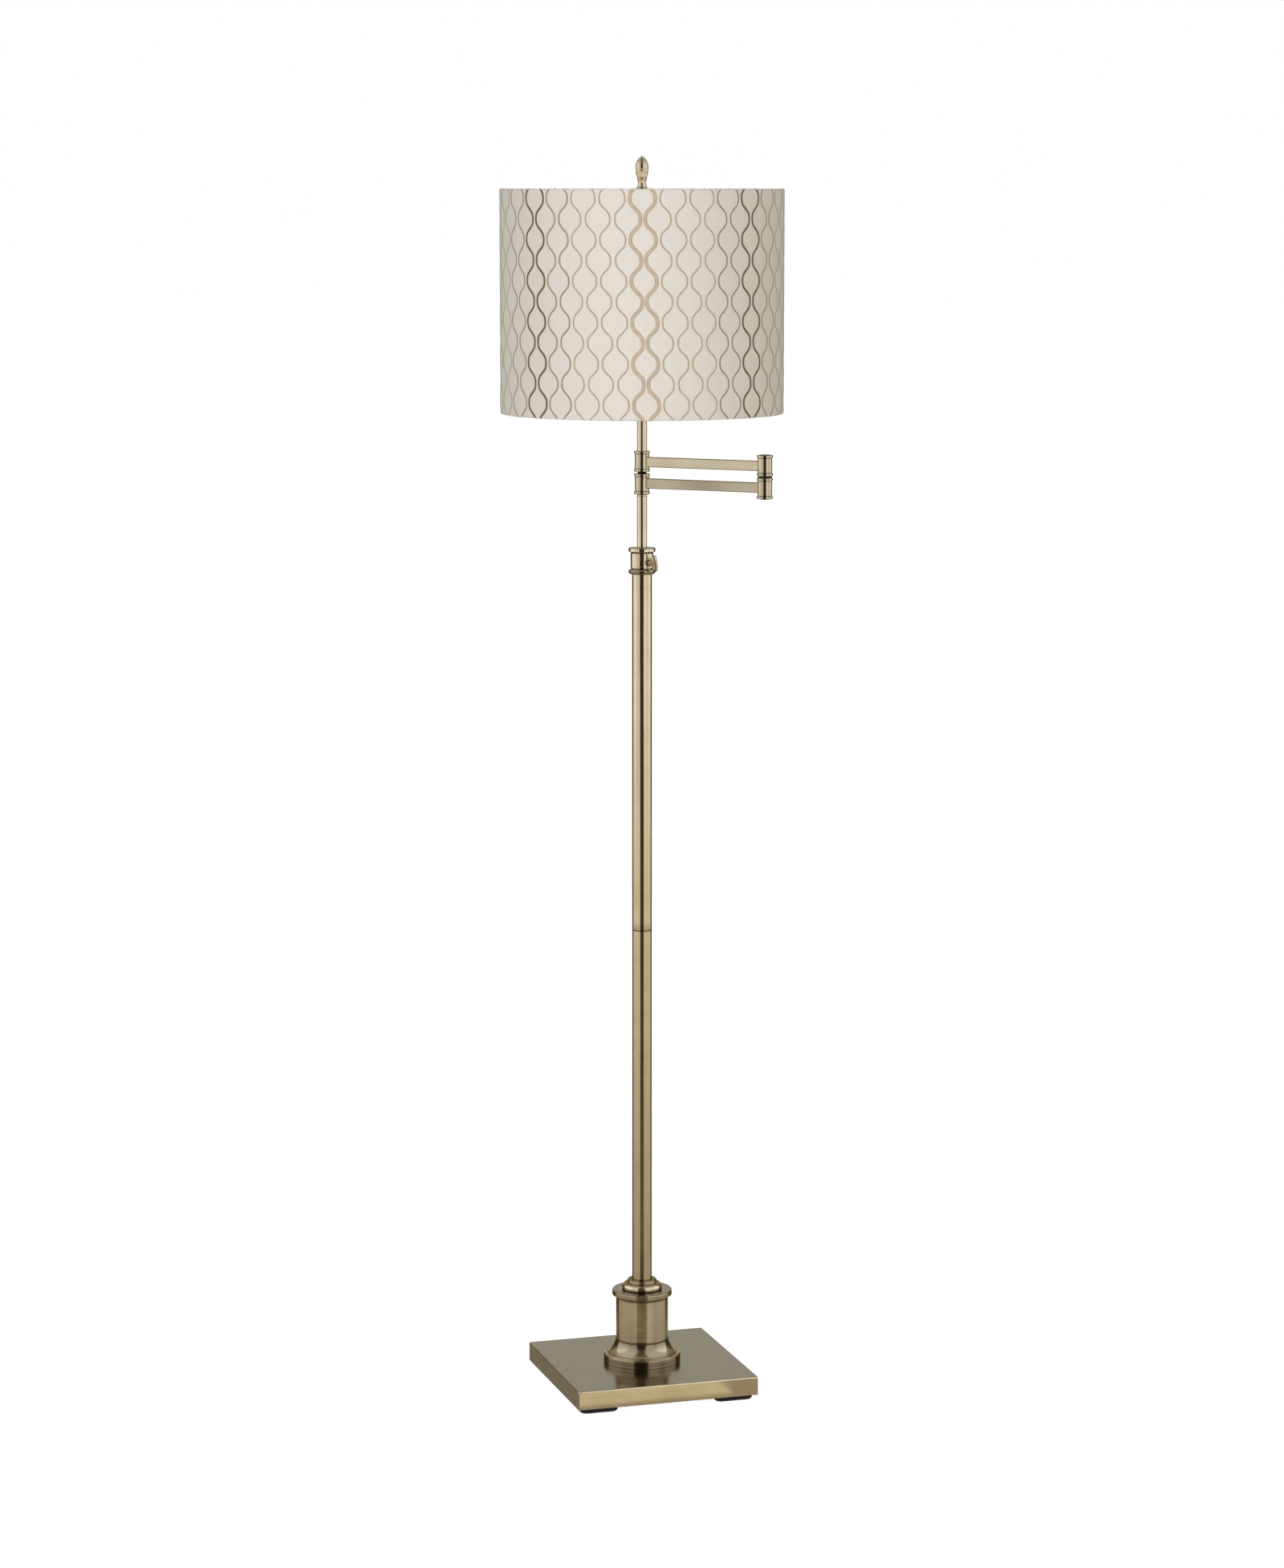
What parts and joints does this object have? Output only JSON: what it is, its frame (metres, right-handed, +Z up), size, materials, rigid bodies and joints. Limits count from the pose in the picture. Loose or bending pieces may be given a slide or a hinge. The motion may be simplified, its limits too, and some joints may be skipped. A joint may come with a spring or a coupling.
{
  "type": "swing arm floor lamp",
  "caption": "Floor lamp with a square weighted base, a sliding stem clamped by a thumbscrew, folding swing arms and a drum shade embroidered with wavy lines.",
  "frame": {"origin": "on the floor, on the axis of the pole, under the middle of the base", "axes": "+Z up along the pole; the front of the square base faces -Y; the folded arms point to the front right, between +X and -Y"},
  "size_m": [0.3556, 0.3556, 1.5803],
  "materials": {
    "antique_brass": "brushed antique brass, turned lines round the tubes, clear lacquer",
    "dark_bronze": "dark oxidised cap, satin",
    "black_rubber": "matt moulded rubber",
    "black_steel": "black enamelled sheet",
    "cast_iron": "rough casting",
    "zinc_steel": "zinc plated",
    "black_plastic": "satin moulded plastic",
    "nylon": "natural nylon",
    "lead_pvc": "clear brown flex",
    "phenolic": "moulded phenolic",
    "socket_paper": "pressed paper sleeve",
    "thin_aluminium": "drawn sheet",
    "frosted_glass": "inside frosted",
    "shade_styrene": "white satin sheet",
    "shade_cloth": "off-white linen weave, embroidered with wavy lines in tan, taupe and brown"
  },
  "bodies": {
    "stand": {"foot_pads": "black_rubber", "bottom_cover": "black_steel", "cover_screws": "zinc_steel", "base_cover": "antique_brass", "base_weight": "cast_iron", "base_nut": "zinc_steel", "tie_rod": "zinc_steel", "cord_bushing": "black_plastic", "riser_foot": "antique_brass", "riser_column": "antique_brass", "neck_ring": "antique_brass", "pole_plug": "zinc_steel", "lower_pole": "antique_brass", "upper_pole": "antique_brass", "pole_coupler": "zinc_steel", "height_collar": "antique_brass", "guide_bush": "nylon", "stand_lead": "lead_pvc"},
    "thumbscrew": {"thumbscrew": "antique_brass"},
    "stem": {"inner_stem": "antique_brass", "stem_glide": "nylon", "stem_pivot": "antique_brass", "thrust_washer": "antique_brass", "stem_pivot_nut": "zinc_steel", "stem_lead": "lead_pvc"},
    "lower_arm": {"pole_knuckle": "antique_brass", "pole_knuckle_cap": "dark_bronze", "lower_arm_bar": "antique_brass", "lower_elbow": "antique_brass", "lower_elbow_plug": "antique_brass", "elbow_pivot": "zinc_steel", "elbow_washer": "black_plastic", "elbow_nut": "zinc_steel", "lower_arm_lead": "lead_pvc"},
    "upper_arm": {"upper_elbow": "antique_brass", "upper_elbow_cap": "antique_brass", "upper_arm_bar": "antique_brass", "socket_knuckle": "antique_brass", "socket_knuckle_plug": "antique_brass", "socket_tube": "antique_brass", "socket_nipple": "zinc_steel", "upper_arm_lead": "lead_pvc", "harp_saddle": "antique_brass", "harp_sleeves": "antique_brass", "harp": "antique_brass", "socket_cap": "antique_brass", "socket_shell": "antique_brass", "socket_sleeve": "socket_paper", "socket_core": "phenolic", "screw_shell": "thin_aluminium", "bulb_base": "thin_aluminium", "bulb_glass": "frosted_glass", "shade_spider": "antique_brass", "shade_top_ring": "zinc_steel", "shade_bottom_ring": "zinc_steel", "shade_liner": "shade_styrene", "shade_fabric": "shade_cloth", "finial": "antique_brass"},
    "switch_knob": {"switch_knob": "black_plastic"}
  },
  "joints": [
    {"name": "stem_slide", "type": "slide", "parent": "stand", "child": "stem", "axis": [0, 0, 1], "range_m": [-0.06, 0.19]},
    {"name": "lower_arm_swing", "type": "hinge", "parent": "stem", "child": "lower_arm", "pos_m": [0, 0, 1.158], "axis": [0, 0, 1], "range_deg": [-170, 170]},
    {"name": "elbow_swing", "type": "hinge", "parent": "lower_arm", "child": "upper_arm", "pos_m": [0.12233, -0.12233, 1.1864], "axis": [0, 0, 1], "range_deg": [-170, 170]},
    {"name": "thumbscrew_turn", "type": "hinge", "parent": "stand", "child": "thumbscrew", "pos_m": [0, 0, 1.0724], "axis": [0.3502, -0.9367, 0], "range_deg": [0, 540]},
    {"name": "switch_turn", "type": "hinge", "parent": "upper_arm", "child": "switch_knob", "pos_m": [0, 0, 1.3646], "axis": [0, -1, 0], "continuous": true}
  ]
}
